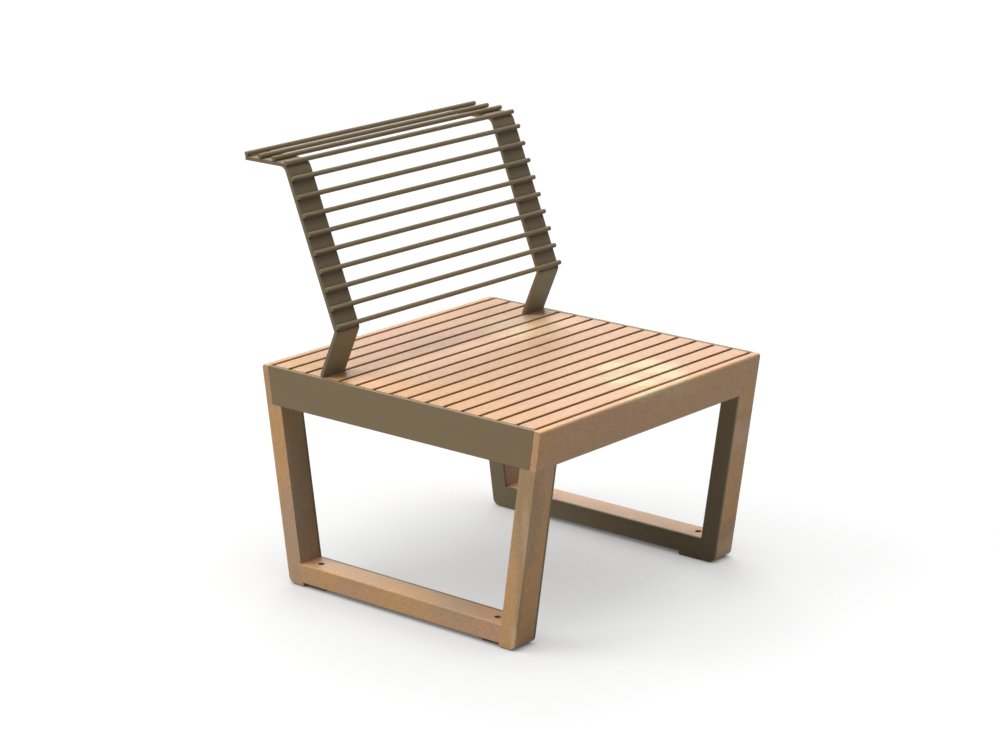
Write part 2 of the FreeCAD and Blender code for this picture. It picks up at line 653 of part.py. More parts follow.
def make_anchor_plate(side_name, side):
    """Steel plate between side plate and frame plate that the bracket's tongue is bolted to."""
    middle = f"{side} * {POCKET_MIDDLE}"
    body = new_body(f"{side_name}_bracket_anchor", x=middle, y=f"{BRACKET_Y} + {HALF_BAR}")
    outline = sketch_on(body, "XZ_Plane", "outline")
    half = f"({PLATE_INSIDE} - {FRAME_OUTSIDE}) / 2"
    draw_outline(outline, [
        (f"-{half}", TONGUE_BOTTOM),
        (half, TONGUE_BOTTOM),
        (half, CARRIER_UNDERSIDE),
        (f"-{half}", CARRIER_UNDERSIDE),
    ])
    for place_x in bolt_places():
        draw_circle(outline, f"{place_x} - {POCKET_MIDDLE}", BOLT_Z, BOLT_HOLE_RADIUS)
    pad(body, outline, "Sizes.bracket_thickness", backward=True)


for side_label, side_sign in SIDES.items():
    make_bracket(side_label, side_sign)
    make_anchor_plate(side_label, side_sign)


# Rods, numbered from the rear of the head roll down to the lowest one
ROD_RADIUS = "(Sizes.rod_diameter / 2)"
ROD_STANDOFF = f"({ROD_RADIUS} + Sizes.rod_weld_gap)"


def rod_places():
    """Pairs of places of the rod centres, from the same point as the bracket's outline."""
    places = []
    for number in reversed(range(count("head_rod_count"))):
        reach = f"{HEAD_TANGENT} + Sizes.rod_from_bend + {number} * Sizes.head_rod_pitch"
        places.append((f"{CREST_Y} + {reach}", f"{CREST_Z} + {ROD_STANDOFF}"))
    bend_reach = f"({HEAD_OUTER_RADIUS} + {ROD_STANDOFF})"
    places.append((
        f"{CREST_Y} + {HEAD_TANGENT} - {bend_reach} * sin({HEAD_HALF_TURN})",
        f"{CREST_Z} - {HEAD_OUTER_RADIUS} + {bend_reach} * cos({HEAD_HALF_TURN})",
    ))
    for number in range(count("back_rod_count")):
        drop = f"({HEAD_TANGENT} + Sizes.rod_from_bend + {number} * Sizes.back_rod_pitch)"
        places.append((
            f"{CREST_Y} - {drop} * sin(Sizes.back_lean) - {ROD_STANDOFF} * cos(Sizes.back_lean)",
            f"{CREST_Z} - {drop} * cos(Sizes.back_lean) + {ROD_STANDOFF} * sin(Sizes.back_lean)",
        ))
    return places


def make_rod(number, across, up):
    body = new_body(f"back_rod_{number:02d}", y=f"{BRACKET_Y} + {across}", z=f"Sizes.seat_height + {up}")
    section = sketch_on(body, "YZ_Plane", "section")
    draw_circle(section, "0", "0", ROD_RADIUS)
    pad(body, section, f"2 * ({BRACKET_OUTSIDE} + Sizes.rod_overhang)", symmetric=True)
    ease(body, "Chamfer", "Sizes.rod_end_chamfer", lambda edge: isinstance(edge.Curve, Part.Circle))


for rod_number, (rod_across, rod_up) in enumerate(rod_places(), start=1):
    make_rod(rod_number, rod_across, rod_up)


# Fasteners: each kind is one group of separate solids
def vector(x, y, z):
    return FreeCAD.Vector(*(value(expression) for expression in (x, y, z)))


def pan_screw(bite):
    """Screw along +Z with its head below the seat of the head at Z = 0."""
    head = Part.makeCylinder(value("Sizes.screw_head_diameter / 2"), value("Sizes.screw_head_height"),
                             -Z_AXIS * value("Sizes.screw_head_height"))
    shank = Part.makeCylinder(value(SCREW_RADIUS), value(bite))
    return head.fuse(shank).removeSplitter()


def countersunk_screw(length):
    """Screw along +Z whose flat head is flush at Z = 0."""
    head_radius = value("Sizes.screw_head_diameter / 2 - Sizes.screw_clearance")
    shank_radius = value(SCREW_RADIUS)
    head = Part.makeCone(head_radius, shank_radius, head_radius - shank_radius)
    shank = Part.makeCylinder(shank_radius, value(length))
    return head.fuse(shank).removeSplitter()


def hexagon(height):
    """Six-sided prism on Z = 0 with the width across flats of the bolts."""
    corner_radius = value("Sizes.bolt_head_width / 2") / math.cos(math.pi / 6)
    corners = [FreeCAD.Vector(math.cos(math.pi / 3 * step), math.sin(math.pi / 3 * step), 0) * corner_radius
               for step in range(7)]
    return Part.Face(Part.makePolygon(corners)).extrude(Z_AXIS * height)


def hex_bolt():
    """Bolt along +Z, its head below Z = 0, long enough for tongue, anchor plate and nut."""
    grip = "2 * Sizes.bracket_thickness + Sizes.nut_height + Sizes.bolt_tail"
    head_height = value("Sizes.bolt_head_height")
    head = hexagon(head_height)
    head.translate(-Z_AXIS * head_height)
    shank = Part.makeCylinder(value("Sizes.bolt_diameter / 2"), value(grip))
    return head.fuse(shank).removeSplitter()


def hex_nut():
    """Nut on Z = 0 with a bore that clears the bolt."""
    height = value("Sizes.nut_height")
    return hexagon(height).cut(Part.makeCylinder(value(BOLT_HOLE_RADIUS), height))


def group(label, shape, places):
    """A node of copies of one fastener; each place is a point and the way the fastener points."""
    copies = []
    for point, direction in places:
        turn = FreeCAD.Rotation(Z_AXIS, direction)
        copies.append(shape.transformed(FreeCAD.Placement(point, turn).toMatrix()))
    feature = doc.addObject("Part::Feature", label)
    feature.Label = label
    feature.Shape = Part.makeCompound(copies)
    feature.Placement = FreeCAD.Placement()
    parts.append(feature)


def slat_screw_points():
    return [(vector(f"{side} * {POCKET_MIDDLE}", slat_middle(number), CARRIER_UNDERSIDE), Z_AXIS)
            for side in SIDES.values() for number in range(1, count("slat_count") + 1)]


def board_screw_points():
    points = []
    for end in ENDS.values():
        lean = math.radians(value("Sizes.leg_lean"))
        outward = FreeCAD.Vector(0, end * math.cos(lean), -math.sin(lean))
        upward = FreeCAD.Vector(0, end * math.sin(lean), math.cos(lean))
        foot = vector("0", f"{end} * {board_inside(APRON_BOTTOM)}", APRON_BOTTOM)
        seat = foot + upward * value(BAR_MIDDLE) - outward * value("Sizes.cross_bar_thickness")
        points += [(seat + X_AXIS * value(across), outward) for across in board_screw_places()]
    return points


def leg_screw_points():
    places = rail_screw_places() + leg_screw_places(-1) + leg_screw_places(1)
    return [(vector(f"{side} * {FRAME_INSIDE}", across, up), X_AXIS * side)
            for side in SIDES.values() for across, up in places]


def bolt_points(along_y):
    return [(vector(f"{side} * {place_x}", f"{BRACKET_Y} + {along_y}", BOLT_Z), Y_AXIS)
            for side in SIDES.values() for place_x in bolt_places()]


group("slat_screws", pan_screw(f"Sizes.carrier_thickness + {SLAT_SCREW_BITE}"), slat_screw_points())
group("board_screws", pan_screw(f"Sizes.cross_bar_thickness + {BOARD_SCREW_BITE}"), board_screw_points())
leg_screw_length = f"Sizes.frame_plate_thickness + {LEG_SCREW_BITE}"
group("leg_screws", countersunk_screw(leg_screw_length), leg_screw_points())
group("bracket_bolts", hex_bolt(), bolt_points(f"(-{HALF_BAR})"))
group("bracket_nuts", hex_nut(), bolt_points(f"(Sizes.bracket_thickness + {HALF_BAR})"))

# Every feature has to be sound before anything is written
doc.recompute()
for feature in doc.Objects:
    if "Invalid" in feature.State or "Error" in feature.State:
        raise ValueError(f"{feature.Label} did not build: {feature.State}")
for part in parts:
    if part.Shape.isNull() or not part.Shape.isValid():
        raise ValueError(f"{part.Label} has no sound shape")

os.makedirs("parts", exist_ok=True)
for part in parts:
    part.Shape.exportStep(f"parts/{part.Label}.step")
    print(f"{part.Label}: {len(part.Shape.Solids)} solid(s), {part.Shape.Volume / 1000:.1f} cm3")
print(len(parts), "nodes")
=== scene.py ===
# %% [markdown]
# # A garden chair of hardwood and powder-coated steel
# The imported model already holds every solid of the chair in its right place: slats, boards, legs, steel
# plates, brackets and rods. This lesson dresses it: wood and steel finishes, the weld beads of the back, a
# camera, a floor and light. All lengths are metres, X is the width, the sitter faces -Y and Z is up.

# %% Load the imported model
import json
import math

import bpy
import numpy as np
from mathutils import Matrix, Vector


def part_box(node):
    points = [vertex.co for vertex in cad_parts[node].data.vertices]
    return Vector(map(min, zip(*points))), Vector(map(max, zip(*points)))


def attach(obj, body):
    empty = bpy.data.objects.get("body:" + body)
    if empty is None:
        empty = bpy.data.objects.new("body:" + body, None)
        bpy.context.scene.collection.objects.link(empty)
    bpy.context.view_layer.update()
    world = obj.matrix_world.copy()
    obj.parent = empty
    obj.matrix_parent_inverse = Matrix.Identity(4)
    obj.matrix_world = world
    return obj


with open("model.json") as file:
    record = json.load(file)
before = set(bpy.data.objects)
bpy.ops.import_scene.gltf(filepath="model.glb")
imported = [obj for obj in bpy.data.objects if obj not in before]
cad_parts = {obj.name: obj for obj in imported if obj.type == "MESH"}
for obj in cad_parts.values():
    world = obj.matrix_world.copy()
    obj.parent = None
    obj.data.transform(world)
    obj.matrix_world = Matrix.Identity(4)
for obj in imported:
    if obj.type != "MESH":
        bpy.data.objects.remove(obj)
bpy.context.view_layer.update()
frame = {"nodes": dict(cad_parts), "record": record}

MM = 0.001

nodes = frame["nodes"]
SEAT_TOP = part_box("left_side_plate")[1].z
print("CAD nodes:", len(nodes), "seat top at", round(SEAT_TOP, 4))

# %% [markdown]
# ## Small helpers for materials
# Paint charts and colour pickers give sRGB hex values, but a shader works with linear light, so one function
# turns the first into the second. Another one adds a node to a material: plain values go into its sockets,
# and another node's output is linked to it. A mix node has its own sockets for each kind of value, and those
# for colours are known by their numbers.


# %% Colour and node helpers
def linear(hex_colour):
    """sRGB hex text to a linear RGBA colour: the two-piece sRGB curve, undone."""
    srgb = np.array([int(hex_colour[place:place + 2], 16) for place in (1, 3, 5)]) / 255
    rgb = np.where(srgb <= 0.04045, srgb / 12.92, ((srgb + 0.055) / 1.055) ** 2.4)
    return (*rgb.tolist(), 1.0)


def grey(level):
    """A linear grey: the same level for red, green and blue."""
    return (level, level, level, 1.0)


def new_material(name):
    """An empty node material; returns it with its node tree."""
    material = bpy.data.materials.new(name)
    material.use_nodes = True
    material.node_tree.nodes.clear()
    return material, material.node_tree


def add_node(tree, kind, inputs=None, **settings):
    """Adds one node: settings are its properties, inputs are socket values or outputs to link."""
    made = tree.nodes.new("ShaderNode" + kind)
    for name, setting in settings.items():
        setattr(made, name, setting)
    for socket, source in (inputs or {}).items():
        if isinstance(source, bpy.types.NodeSocket):
            tree.links.new(source, made.inputs[socket])
        else:
            made.inputs[socket].default_value = source
    return made


# A mix node set to colours, and the numbers of its sockets
COLOURS = {"data_type": "RGBA"}
FACTOR, FIRST, SECOND, RESULT = 0, 6, 7, 2

# %% [markdown]
# ## Oiled hardwood, planed and sanded
# The slats, boards, legs and rails are solid hardwood under a satin oil. Seen from a step away the wood has
# no strong figure: broad soft clouds go from rosy to honey, long olive streaks run along the piece, and fine
# pores speckle it. A picture of wood would give this at once, but would slide over the corners. Noise read
# in three dimensions and drawn out along the grain fits every face, and shows end grain where a board is cut.

# %% Wood colours
CLOUD_SIZE = 130 * MM
CLOUD_STRETCH = 1.6
STREAK_SIZE = 16 * MM
STREAK_STRETCH = 14
STREAK_START, STREAK_FULL = 0.48, 0.72
STREAK_AMOUNT = 0.75
# Most values of a noise lie between these two
NOISE_LOW, NOISE_HIGH = 0.3, 0.7


def drawn_out(tree, place, grain_axis, stretch):
    """Coordinates that change slowly along the grain, so that noise read from them is long that way."""
    scale = [1.0, 1.0, 1.0]
    scale[grain_axis] = 1 / stretch
    return add_node(tree, "Mapping", {"Vector": place, "Scale": scale}).outputs["Vector"]


def cloudy_wood(tree, place, grain_axis, tones):
    """Broad clouds from rosy to honey, with olive streaks along the grain; also gives the streaks' noise."""
    rosy, honey, olive = [linear(tone) for tone in tones]
    clouds = add_node(tree, "TexNoise", {
        "Vector": drawn_out(tree, place, grain_axis, CLOUD_STRETCH),
        "Scale": 1 / CLOUD_SIZE,
        "Detail": 2.0,
        "Roughness": 0.45,
    }).outputs["Fac"]
    inputs = {"Value": clouds, "From Min": NOISE_LOW, "From Max": NOISE_HIGH}
    cloud_mask = add_node(tree, "MapRange", inputs).outputs["Result"]
    inputs = {FACTOR: cloud_mask, FIRST: rosy, SECOND: honey}
    clouded = add_node(tree, "Mix", inputs, **COLOURS).outputs[RESULT]
    streaks = add_node(tree, "TexNoise", {
        "Vector": drawn_out(tree, place, grain_axis, STREAK_STRETCH),
        "Scale": 1 / STREAK_SIZE,
        "Detail": 2.5,
        "Distortion": 0.4,
    }).outputs["Fac"]
    streak_mask = add_node(tree, "MapRange", {
        "Value": streaks,
        "From Min": STREAK_START,
        "From Max": STREAK_FULL,
        "To Max": STREAK_AMOUNT,
    }).outputs["Result"]
    inputs = {FACTOR: streak_mask, FIRST: clouded, SECOND: olive}
    return add_node(tree, "Mix", inputs, **COLOURS).outputs[RESULT], streaks


# %% [markdown]
# ## Soft patches in the timber
# Where boards come from different logs, or the oil has soaked in more, a patch of the wood is paler, more
# orange or greyer than the rest. A few patches are painted light or painted shade instead, each marked where
# it stands. Each patch is an ellipsoid with a wavering edge, mixed over the clouds. Its middle is given as
# shares of the piece it lies on, so that it stays in place if the chair gets another size.

# %% Colours and places of patches
STRAW, GOLD, ORANGE, GREY_PINK = "#fbe6b4", "#f5d09a", "#f8c084", "#e2b69c"
OLIVE, PALE_OLIVE, HONEY, ROSY_GREY = "#d4b184", "#eac39a", "#f9c386", "#e3bd98"
ROSY, PALE_ROSY, SAPWOOD, TAN = "#f3c69c", "#fdd0a8", "#ffdcb0", "#eebb87"

SEAT_LOW = np.array(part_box("front_board")[0])
SEAT_HIGH = np.array(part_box("rear_board")[1])
rail_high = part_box("left_bottom_rail")[1]
leg_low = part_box("left_rear_leg")[0]
# The legs lean outward by this much for each metre of height, just as the ends of the rails do
LEAN = (rail_high.y - leg_low.y) / (rail_high.z - leg_low.z)


def on_seat(across, back):
    """A point of the seat's top: shares of its width from the sitter's right and of its depth from the
    front."""
    return (SEAT_LOW + (SEAT_HIGH - SEAT_LOW) * np.array([across, back, 1.0])).tolist()


def on_rail(node_name, back):
    """A point on the outer top edge of a rail: the share of its length from the front."""
    low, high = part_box(node_name)
    outer = low.x if low.x < 0 else high.x
    return [outer, low.y + (high.y - low.y) * back, high.z]


def on_leg(node_name, inward, outward, height):
    """A point of a leaning leg: shares of its width from the outer side, of its depth from the inner face,
    and of its height."""
    low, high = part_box(node_name)
    shift = LEAN * (high.z - low.z)
    depth = high.y - low.y - shift
    out = 1 if low.y > 0 else -1
    inner = low.y if low.y > 0 else high.y
    side, other_side = (low.x, high.x) if low.x < 0 else (high.x, low.x)
    x = side + (other_side - side) * inward
    return [x, inner + out * (outward * depth + height * shift), low.z + (high.z - low.z) * height]


def patch(middle, reach, colour, amount):
    """One patch: its middle, its reach along X, Y and Z in metres, its colour and how much of it shows."""
    return {"middle": middle, "reach": reach, "colour": colour, "amount": amount}


print("seat", np.round(SEAT_HIGH - SEAT_LOW, 3), "lean of the legs", round(LEAN, 3))

# %% Patches of the seat and its boards
# Pale straw spots round a patch of ordinary wood, near the front of the seat
STRAW_SPOTS = [(0.62, 0.24), (0.70, 0.18), (0.69, 0.12), (0.53, 0.14), (0.54, 0.07), (0.66, 0.06)]
STRAW_REACH = (0.055, 0.032, 0.05)
straw_patches = [patch(on_seat(*spot), STRAW_REACH, STRAW, 0.9) for spot in STRAW_SPOTS]
SEAT_PATCHES = straw_patches + [
    patch(on_seat(0.60, 0.14), (0.14, 0.14, 0.05), STRAW, 0.35),
    patch(on_seat(0.77, 0.64), (0.12, 0.10, 0.05), GOLD, 0.4),
    patch(on_seat(0.04, 0.64), (0.11, 0.17, 0.05), ORANGE, 0.7),
    # An orange tone of the wood at the near end; round the foot of the bracket it is also painted shade
    patch(on_seat(0.05, 0.93), (0.13, 0.14, 0.05), ORANGE, 0.9),
    patch(on_seat(0.05, 0.35), (0.14, 0.40, 0.05), ORANGE, 0.35),
    # Painted light: this pale patch lightens the seat where the far bracket's shadow falls
    patch(on_seat(0.80, 0.69), (0.13, 0.14, 0.05), SAPWOOD, 0.6),
    patch(on_seat(0.50, 0.80), (0.14, 0.08, 0.05), GREY_PINK, 0.6),
    patch(on_seat(0.38, 0.64), (0.12, 0.05, 0.05), GREY_PINK, 0.5),
    patch(on_seat(0.48, 0.42), (0.11, 0.13, 0.05), ROSY, 0.7),
    patch(on_seat(0.92, 0.71), (0.10, 0.15, 0.05), PALE_ROSY, 0.8),
]
BOARD_PATCHES = [
    patch(on_seat(0.46, 0.0), (0.09, 0.05, 0.02), STRAW, 0.6),
    patch(on_seat(0.60, 0.0), (0.10, 0.05, 0.04), STRAW, 0.4),
    patch(on_seat(0.0, 0.0), (0.10, 0.05, 0.12), HONEY, 0.7),
    patch(on_seat(0.0, 1.0), (0.04, 0.05, 0.12), OLIVE, 0.6),
    patch(on_seat(0.03, 1.0), (0.14, 0.05, 0.02), ORANGE, 0.9),
]
print("patches:", len(SEAT_PATCHES), "on the slats,", len(BOARD_PATCHES), "on the boards")

# %% Patches of legs and rails
LEG_PATCHES = [
    patch(on_leg("right_front_leg", 0.7, 1.0, 0.3), (0.06, 0.02, 0.40), HONEY, 0.9),
    patch(on_leg("right_front_leg", 0, 0.5, 0.85), (0.06, 0.05, 0.19), OLIVE, 0.9),
    patch(on_leg("right_front_leg", 0, 0.2, 0.28), (0.05, 0.035, 0.20), HONEY, 0.9),
    patch(on_leg("right_front_leg", 0, 1.0, 0.25), (0.012, 0.014, 0.20), OLIVE, 0.8),
    patch(on_leg("right_front_leg", 0, 0.75, 0.68), (0.02, 0.014, 0.09), PALE_OLIVE, 0.9),
    # Painted reflection: a pale spot at the foot of this leg, near the floor
    patch(on_leg("right_front_leg", 0, 0.9, 0.03), (0.014, 0.012, 0.05), SAPWOOD, 0.7),
    patch(on_leg("right_front_leg", 1, 1.0, 0.6), (0.03, 0.03, 0.35), HONEY, 0.8),
    patch(on_leg("right_rear_leg", 0, 0.5, 0.85), (0.06, 0.05, 0.20), HONEY, 0.9),
    patch(on_leg("right_rear_leg", 0, 0.5, 0.18), (0.06, 0.05, 0.24), ROSY_GREY, 0.95),
    patch(on_leg("left_front_leg", 0.5, 1.0, 0.40), (0.06, 0.04, 0.20), HONEY, 0.9),
    patch(on_leg("left_front_leg", 0.5, 1.0, 0.95), (0.06, 0.04, 0.08), HONEY, 0.8),
    patch(on_leg("left_front_leg", 0.5, 1.0, 0.84), (0.06, 0.03, 0.035), TAN, 0.9),
    patch(on_leg("left_front_leg", 0.5, 1.0, 0.75), (0.06, 0.03, 0.04), PALE_ROSY, 0.8),
    patch(on_leg("left_front_leg", 0.5, 1.0, 0.17), (0.06, 0.03, 0.04), OLIVE, 0.5),
    # Painted light: the foot of this leg is lightened where the floor throws light on it
    patch(on_leg("left_front_leg", 0.5, 1.0, 0.0), (0.08, 0.03, 0.07), SAPWOOD, 1.0),
]
RAIL_PATCHES = [
    patch(on_rail("right_bottom_rail", 0.27), (0.08, 0.15, 0.03), ROSY_GREY, 0.95),
    patch(on_rail("right_bottom_rail", 0.72), (0.08, 0.16, 0.02), TAN, 0.8),
    patch(on_rail("right_bottom_rail", 0.86), (0.03, 0.06, 0.06), HONEY, 0.8),
    patch(on_rail("right_bottom_rail", 0.48), (0.06, 0.12, 0.06), HONEY, 0.85),
    # Painted light: this pale patch lightens the top of the rail on the far side
    patch(on_rail("left_bottom_rail", 0.40), (0.10, 0.35, 0.03), PALE_ROSY, 0.9),
]
print("patches:", len(LEG_PATCHES), "on the legs,", len(RAIL_PATCHES), "on the rails")

# %% Mixing the patches in
WAVER_SIZE = 50 * MM
WAVER = (0.9, 0.9, 0.9)
NOISE_MIDDLE = (0.5, 0.5, 0.5)
# The share of its reach up to which a patch shows in full
PATCH_CORE = 0.3


def patched(tree, place, colour, patches):
    """Mixes each patch over the colour: full in its core, gone at its reach, with a wavering edge."""
    noise = add_node(tree, "TexNoise", {"Vector": place, "Scale": 1 / WAVER_SIZE, "Detail": 1.0})
    inputs = {0: noise.outputs["Color"], 1: NOISE_MIDDLE}
    waver = add_node(tree, "VectorMath", inputs, operation="SUBTRACT").outputs[0]
    for spot in patches:
        away = add_node(tree, "VectorMath", {0: place, 1: spot["middle"]}, operation="SUBTRACT").outputs[0]
        share = add_node(tree, "VectorMath", {0: away, 1: spot["reach"]}, operation="DIVIDE").outputs[0]
        inputs = {0: waver, 1: WAVER, 2: share}
        bent = add_node(tree, "VectorMath", inputs, operation="MULTIPLY_ADD").outputs[0]
        distance = add_node(tree, "VectorMath", {0: bent}, operation="LENGTH").outputs["Value"]
        inputs = {"Value": distance, "From Min": 1.0, "From Max": PATCH_CORE, "To Max": spot["amount"]}
        mask = add_node(tree, "MapRange", inputs, interpolation_type="SMOOTHSTEP").outputs["Result"]
        inputs = {FACTOR: mask, FIRST: colour, SECOND: linear(spot["colour"])}
        colour = add_node(tree, "Mix", inputs, **COLOURS).outputs[RESULT]
    return colour


# %% [markdown]
# ## Painted shade on the flanks between the slats
# The flanks between the slats lie in shade, and this shade is painted into the wood: the flanks are much
# darker than the tops. The painted shade follows the height below the seat, which needs no extra geometry.

# %% Flanks
FLANK_START = 0.6 * MM
FLANK_FULL = 4 * MM
FLANK_SHADE = 0.46


def painted_flank_shade(tree, place, colour):
    """Painted shade: darkens the wood from just under the rounded top edge down to the full shade."""
    shade = add_node(tree, "MapRange", {
        "Value": add_node(tree, "SeparateXYZ", {"Vector": place}).outputs["Z"],
        "From Min": SEAT_TOP - FLANK_FULL,
        "From Max": SEAT_TOP - FLANK_START,
        "To Min": FLANK_SHADE,
        "To Max": 1.0,
    }).outputs["Result"]
    return add_node(tree, "VectorMath", {0: colour, 1: shade}, operation="MULTIPLY").outputs[0]


# %% [markdown]
# ## Painted shade in the bores for the floor anchors
# Each rail has two bores for anchors, and the shade inside them is painted into the wood. All four lie
# equally far from the two middle planes of the chair, so the painted shade folds them onto one another and is
# dark inside their radius.

# %% Bores
anchors = {mount["name"]: mount for mount in frame["record"]["mounts"]}["floor_anchors"]["dims"]
BORE_RADIUS = anchors["hole_r_mm"] * MM
BORE_PLACE = (anchors["spacing_x_mm"] / 2 * MM, anchors["spacing_y_mm"] / 2 * MM, 0.0)
BORE_RIM = 0.4 * MM
BORE_SHADE = 0.5
WITHOUT_HEIGHT = (1.0, 1.0, 0.0)
print("bores of radius", round(BORE_RADIUS, 4), "at", np.round(BORE_PLACE, 4))


def painted_bore_shade(tree, place, colour):
    """Painted shade: darkens the wood inside the radius of the bores; the rim is the width of the change."""
    folded = add_node(tree, "VectorMath", {0: place}, operation="ABSOLUTE").outputs[0]
    level = add_node(tree, "VectorMath", {0: folded, 1: WITHOUT_HEIGHT}, operation="MULTIPLY").outputs[0]
    away = add_node(tree, "VectorMath", {0: level, 1: BORE_PLACE}, operation="DISTANCE").outputs["Value"]
    shade = add_node(tree, "MapRange", {
        "Value": away,
        "From Min": BORE_RADIUS,
        "From Max": BORE_RADIUS + BORE_RIM,
        "To Min": BORE_SHADE,
        "To Max": 1.0,
    }).outputs["Result"]
    return add_node(tree, "VectorMath", {0: colour, 1: shade}, operation="MULTIPLY").outputs[0]


# %% [markdown]
# ## Painted shade on the inner faces of the legs
# The faces of the legs that look into the opening of the frame lie in shade under the seat, and this shade
# is painted into their colour as a brown tint. Such a face looks back to the middle of the chair, which its
# direction tells: front to back, its place and its direction have opposite signs.

# %% Inner faces
INNER_SHADE_TINT = (0.68, 0.80, 0.90, 1.0)
INNER_TURN = 0.5


def painted_inner_face_shade(tree, place, colour):
    """Painted shade: a brown tint multiplied in where the face looks to the middle plane of the chair."""
    normal = add_node(tree, "NewGeometry").outputs["Normal"]
    facing = add_node(tree, "SeparateXYZ", {"Vector": normal}).outputs["Y"]
    side = add_node(tree, "SeparateXYZ", {"Vector": place}).outputs["Y"]
    sign = add_node(tree, "Math", {0: side}, operation="SIGN").outputs[0]
    outward = add_node(tree, "Math", {0: facing, 1: sign}, operation="MULTIPLY").outputs[0]
    inner = add_node(tree, "Math", {0: outward, 1: -INNER_TURN}, operation="LESS_THAN").outputs[0]
    inputs = {FACTOR: inner, FIRST: grey(1.0), SECOND: INNER_SHADE_TINT}
    tint = add_node(tree, "Mix", inputs, **COLOURS).outputs[RESULT]
    return add_node(tree, "VectorMath", {0: colour, 1: tint}, operation="MULTIPLY").outputs[0]


# %% [markdown]
# ## The wood finish put together
# The oil leaves a satin film, rougher where the grain is open. Pores are drawn a few millimetres long,
# coarser than the real ones, so that they still show as a speckle from a step away.

# %% Wood finish
PORE_SIZE = 4 * MM
PORE_STRETCH = 2.5
PORE_DARK, PORE_LIGHT = 0.88, 1.07
PORE_DEPTH = 0.4 * MM
PORE_BUMP = 0.2
OIL_SMOOTH, OIL_ROUGH = 0.36, 0.46
FILM_IOR = 1.5
# A satin film mirrors about half as much as a clear one
FILM_SHINE = 0.25


def oiled_hardwood(name, grain_axis, tones, patches, shading=None):
    """Planed hardwood with its grain along X, Y or Z (0, 1 or 2): satin, low contrast, fine speckle."""
    material, tree = new_material(name)
    place = add_node(tree, "TexCoord").outputs["Object"]
    colour, streaks = cloudy_wood(tree, place, grain_axis, tones)
    colour = patched(tree, place, colour, patches)
    fine = drawn_out(tree, place, grain_axis, PORE_STRETCH)
    pores = add_node(tree, "TexNoise", {"Vector": fine, "Scale": 1 / PORE_SIZE, "Detail": 2.0}).outputs["Fac"]
    speckle = add_node(tree, "MapRange", {
        "Value": pores,
        "From Min": NOISE_LOW,
        "From Max": NOISE_HIGH,
        "To Min": PORE_DARK,
        "To Max": PORE_LIGHT,
    }).outputs["Result"]
    colour = add_node(tree, "VectorMath", {0: colour, 1: speckle}, operation="MULTIPLY").outputs[0]
    if shading:
        colour = shading(tree, place, colour)
    inputs = {"Value": streaks, "To Min": OIL_SMOOTH, "To Max": OIL_ROUGH}
    roughness = add_node(tree, "MapRange", inputs).outputs["Result"]
    inputs = {"Height": pores, "Strength": PORE_BUMP, "Distance": PORE_DEPTH}
    bump = add_node(tree, "Bump", inputs).outputs["Normal"]
    shader = add_node(tree, "BsdfPrincipled", {
        "Base Color": colour,
        "Roughness": roughness,
        "Normal": bump,
        "IOR": FILM_IOR,
        "Specular IOR Level": FILM_SHINE,
    }).outputs["BSDF"]
    add_node(tree, "OutputMaterial", {"Surface": shader})
    return material


# %% The four woods
SLAT_TONES = ("#eebc99", "#f2c194", "#f0c69a")
BOARD_TONES = ("#f1bf98", "#f4c491", "#eec28c")
RAIL_TONES = ("#f1bf9a", "#f8c48a", "#ecc08c")
LEG_TONES = ("#f0be98", "#f7c38a", "#e0bb88")
ACROSS, ALONG, UPRIGHT = 0, 1, 2
# Painted shade: on the flanks of the slats, in the bores of the rails and on the inner faces of the legs
WOOD_SLATS = oiled_hardwood("oiled_hardwood_slats", ACROSS, SLAT_TONES, SEAT_PATCHES, painted_flank_shade)
WOOD_BOARDS = oiled_hardwood("oiled_hardwood_boards", ACROSS, BOARD_TONES, BOARD_PATCHES)
WOOD_RAILS = oiled_hardwood("oiled_hardwood_rails", ALONG, RAIL_TONES, RAIL_PATCHES, painted_bore_shade)
WOOD_LEGS = oiled_hardwood("oiled_hardwood_legs", UPRIGHT, LEG_TONES, LEG_PATCHES, painted_inner_face_shade)
print("wood: clouds of", CLOUD_SIZE, "m, streaks of", STREAK_SIZE, "m, pores of", PORE_SIZE, "m")

# %% [markdown]
# ## Painted shade in the corners of the back
# All steel of the chair has a bronze powder coat. Under the rods, and most of all in the fold of the knee
# under the lowest one, the shade on the brackets is painted into the coat's colour. How closed a corner is
# can be asked of the geometry itself: ambient occlusion counts what stands close by. Asked with its direction
# raised, it sees more of the rod above a point than of the one below.

# %% Corners of the back
CORNER_REACH = 30 * MM
CORNER_RISE = (0.0, 0.0, 0.6)
CORNER_CLOSED, CORNER_OPEN = 0.4, 0.88
CORNER_SHADE = 0.22
OCCLUSION_SAMPLES = 8
SLOPE_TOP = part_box("back_rod_05")[1].z
HEAD_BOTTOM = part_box("back_rod_04")[0].z
print("slope of the back ends at", round(SLOPE_TOP, 4), "and its head starts at", round(HEAD_BOTTOM, 4))


def painted_corner_shade(tree, normal):
    """Painted shade: low where something stands close by, above the point rather than below."""
    raised = add_node(tree, "VectorMath", {0: normal, 1: CORNER_RISE}, operation="ADD").outputs[0]
    inputs = {"Distance": CORNER_REACH, "Normal": raised}
    openness = add_node(tree, "AmbientOcclusion", inputs, samples=OCCLUSION_SAMPLES).outputs["AO"]
    return add_node(tree, "MapRange", {
        "Value": openness,
        "From Min": CORNER_CLOSED,
        "From Max": CORNER_OPEN,
        "To Min": CORNER_SHADE,
    }).outputs["Result"]


def on_slope(tree, height):
    """One on the slope of the back, nought at its level head, which gets no painted shade."""
    return add_node(tree, "MapRange", {
        "Value": height,
        "From Min": SLOPE_TOP,
        "From Max": HEAD_BOTTOM,
        "To Min": 1.0,
        "To Max": 0.0,
    }).outputs["Result"]


